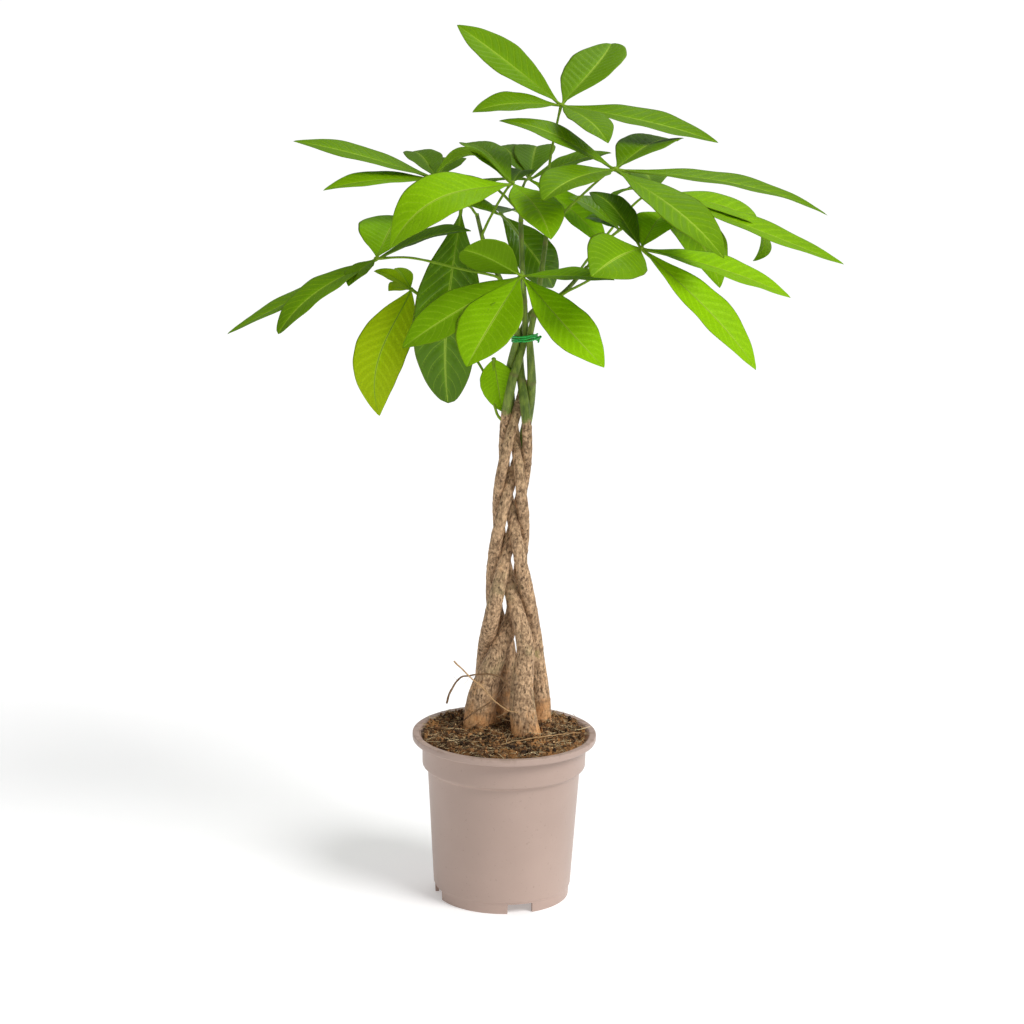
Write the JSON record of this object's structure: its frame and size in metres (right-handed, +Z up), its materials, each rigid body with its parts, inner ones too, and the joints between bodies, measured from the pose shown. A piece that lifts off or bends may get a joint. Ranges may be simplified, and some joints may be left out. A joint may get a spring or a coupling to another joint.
{
  "type": "potted money tree",
  "caption": "Indoor tree with a plaited trunk and palmate leaves, growing in soil in a round plastic nursery pot.",
  "frame": {"origin": "on the floor, under the middle of the whole plant's box; the pot's axis is about 27 mm to its left and 5 mm in front", "axes": "+Z up, front is -Y, +X to the right seen from the front"},
  "size_m": [0.6246, 0.3316, 0.8932],
  "materials": {
    "pot_plastic": "satin moulded plastic, taupe",
    "soil": "damp peaty compost",
    "bark": "rough bark below, smooth green skin at the top",
    "twine": "thin green twine",
    "root": "dry fine root",
    "leaf_green": "satin leaf",
    "leaf_fresh": "satin bright leaf",
    "leaf_dark": "glossy dark leaf",
    "leaf_yellow": "satin yellow-green leaf"
  },
  "bodies": {
    "root": {"pot": "pot_plastic", "soil": "soil", "stem_1": "bark", "stem_2": "bark", "stem_3": "bark", "stem_4": "bark", "stem_5": "bark", "tie": "twine", "root_long": "root", "root_dark": "root", "root_surface": "root", "leaf_top": "leaf_green", "leaf_upper_right": "leaf_green", "leaf_lower_right": "leaf_fresh", "leaf_back_right": "leaf_green", "leaf_inner_right": "leaf_dark", "leaf_centre": "leaf_fresh", "leaf_back_left": "leaf_green", "leaf_far_left": "leaf_green", "leaf_front": "leaf_fresh", "leaf_hanging": "leaf_dark", "leaf_yellow": "leaf_yellow", "leaf_back_centre": "leaf_green", "leaf_inner_back": "leaf_dark", "shoot_low": "leaf_yellow"}
  },
  "joints": []
}
